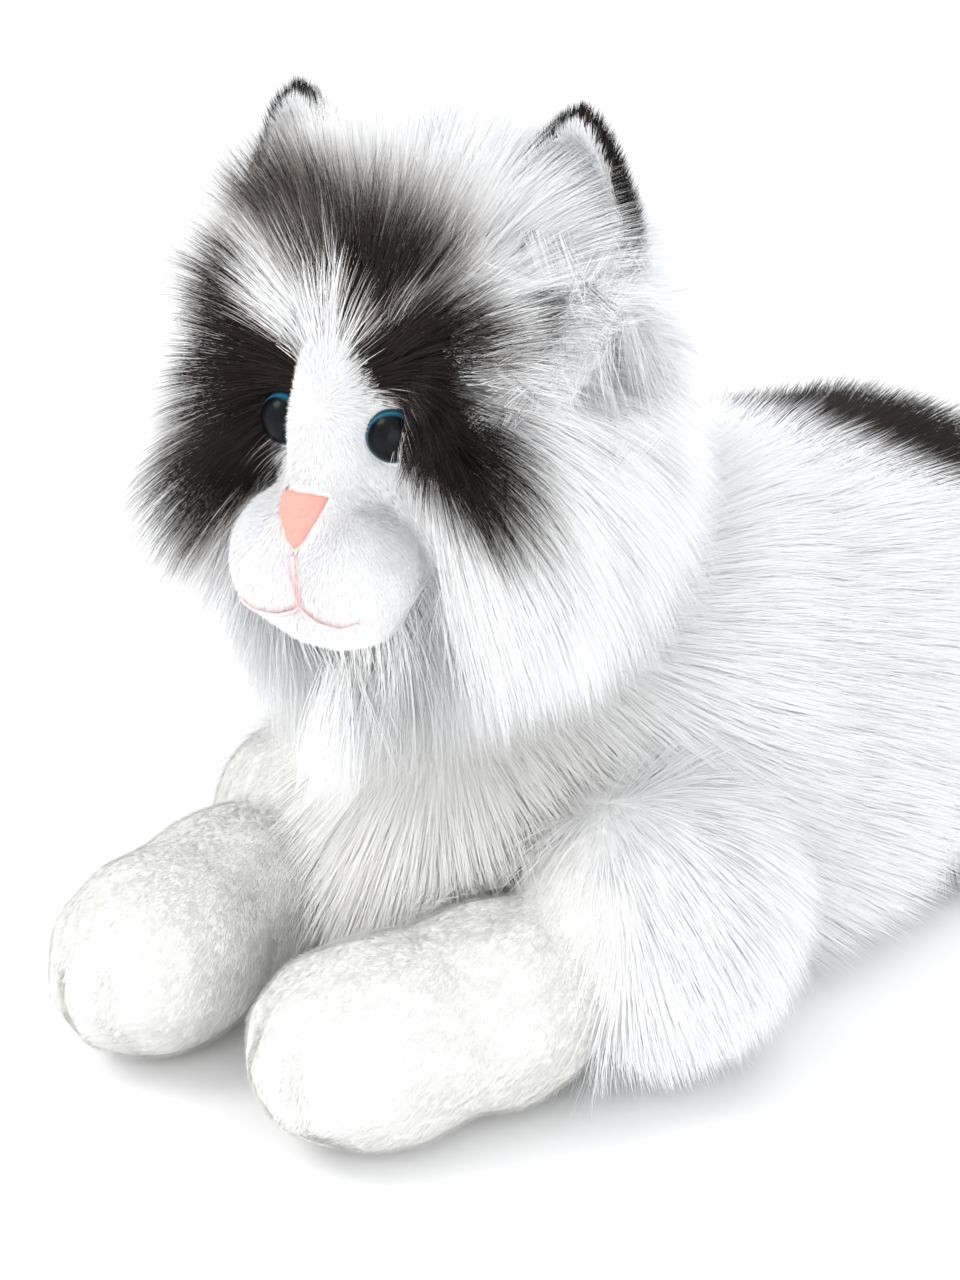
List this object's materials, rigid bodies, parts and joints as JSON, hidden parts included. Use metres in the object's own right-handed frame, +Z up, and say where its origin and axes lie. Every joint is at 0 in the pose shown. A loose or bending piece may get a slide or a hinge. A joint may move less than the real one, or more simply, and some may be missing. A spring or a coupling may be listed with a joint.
{
  "type": "plush cat",
  "caption": "Long-haired stuffed toy cat lying down with forelegs stretched out; head, ears, legs and tail flex.",
  "frame": {"origin": "middle of the bounding box's underside, on the surface the cat lies on", "axes": "+Z up; the cat faces -Y, so its tail end is towards +Y; its left side is towards +X"},
  "size_m": [0.35, 0.5372, 0.3311],
  "materials": {
    "white_long_pile": "matte",
    "white_short_pile": "matte",
    "cream_short_pile": "matte",
    "dark_brown_long_pile": "matte",
    "polyester_wadding": "matte",
    "pellet_bag_cloth": "matte",
    "pink_velvet": "matte",
    "mauve_thread": "satin",
    "eye_gloss": "gloss",
    "washer_plastic": "satin"
  },
  "bodies": {
    "trunk": {"trunk_coat": "white_long_pile", "saddle_panel": "dark_brown_long_pile", "trunk_stuffing": "polyester_wadding", "pellet_bag": "pellet_bag_cloth"},
    "neck": {"neck_stuffing": "polyester_wadding"},
    "head": {"head_coat": "white_long_pile", "head_stuffing": "polyester_wadding", "face_panel": "cream_short_pile", "muzzle_stuffing": "polyester_wadding", "nose": "pink_velvet", "mouth_stitch": "mauve_thread", "philtrum_stitch": "mauve_thread", "eye_left": "eye_gloss", "eye_right": "eye_gloss", "eye_washer_left": "washer_plastic", "eye_washer_right": "washer_plastic"},
    "ear_left": {"ear_left_back": "dark_brown_long_pile", "ear_left_lining": "white_short_pile"},
    "ear_right": {"ear_right_back": "dark_brown_long_pile", "ear_right_lining": "white_short_pile"},
    "foreleg_left": {"foreleg_left_sleeve": "white_long_pile", "foreleg_left_paw": "cream_short_pile", "foreleg_left_stuffing": "polyester_wadding"},
    "foreleg_right": {"foreleg_right_sleeve": "white_long_pile", "foreleg_right_paw": "cream_short_pile", "foreleg_right_stuffing": "polyester_wadding"},
    "hindleg_left": {"hindleg_left_coat": "white_long_pile", "hindleg_left_stuffing": "polyester_wadding"},
    "hindleg_right": {"hindleg_right_coat": "white_long_pile", "hindleg_right_stuffing": "polyester_wadding"},
    "tail_base": {"tail_base_coat": "dark_brown_long_pile", "tail_base_stuffing": "polyester_wadding"},
    "tail_middle": {"tail_middle_coat": "dark_brown_long_pile", "tail_middle_stuffing": "polyester_wadding"},
    "tail_tip": {"tail_tip_coat": "dark_brown_long_pile", "tail_tip_stuffing": "polyester_wadding"}
  },
  "joints": [
    {"name": "head_turn", "type": "hinge", "parent": "trunk", "child": "neck", "pos_m": [0.03697, -0.14848, 0.24], "axis": [0, 0, 1], "range_deg": [-25, 25], "stiffness_Nm_per_rad": 0.5},
    {"name": "head_nod", "type": "hinge", "parent": "neck", "child": "head", "pos_m": [0.03697, -0.14848, 0.24], "axis": [0.9925, 0.1219, 0], "range_deg": [-10, 10], "stiffness_Nm_per_rad": 0.5},
    {"name": "ear_left_flex", "type": "hinge", "parent": "head", "child": "ear_left", "pos_m": [0.08438, -0.13662, 0.287], "axis": [0.9829, 0.1207, -0.1392], "range_deg": [-15, 15], "stiffness_Nm_per_rad": 0.03},
    {"name": "ear_right_flex", "type": "hinge", "parent": "head", "child": "ear_right", "pos_m": [-0.0119, -0.14844, 0.287], "axis": [0.9829, 0.1207, 0.1392], "range_deg": [-15, 15], "stiffness_Nm_per_rad": 0.03},
    {"name": "foreleg_left_lift", "type": "hinge", "parent": "trunk", "child": "foreleg_left", "pos_m": [0.11697, -0.12848, 0.06], "axis": [-0.9135, 0.4067, 0], "range_deg": [0, 15]},
    {"name": "foreleg_right_lift", "type": "hinge", "parent": "trunk", "child": "foreleg_right", "pos_m": [-0.03703, -0.12848, 0.052], "axis": [-0.9945, -0.1045, 0], "range_deg": [0, 15]},
    {"name": "hindleg_left_lift", "type": "hinge", "parent": "trunk", "child": "hindleg_left", "pos_m": [0.13097, 0.14752, 0.0605], "axis": [-1, 0, 0], "range_deg": [0, 12]},
    {"name": "hindleg_right_lift", "type": "hinge", "parent": "trunk", "child": "hindleg_right", "pos_m": [-0.05703, 0.14752, 0.0605], "axis": [-1, 0, 0], "range_deg": [0, 12]},
    {"name": "tail_base_swing", "type": "hinge", "parent": "trunk", "child": "tail_base", "pos_m": [0.00203, 0.22315, 0.043], "axis": [0, 0, 1], "range_deg": [-25, 0]},
    {"name": "tail_middle_curl", "type": "hinge", "parent": "tail_base", "child": "tail_middle", "pos_m": [-0.08899, 0.23353, 0.029], "axis": [0, 0, 1], "range_deg": [-25, 0]},
    {"name": "tail_tip_curl", "type": "hinge", "parent": "tail_middle", "child": "tail_tip", "pos_m": [-0.14693, 0.16448, 0.029], "axis": [0, 0, 1], "range_deg": [-25, 0]}
  ]
}
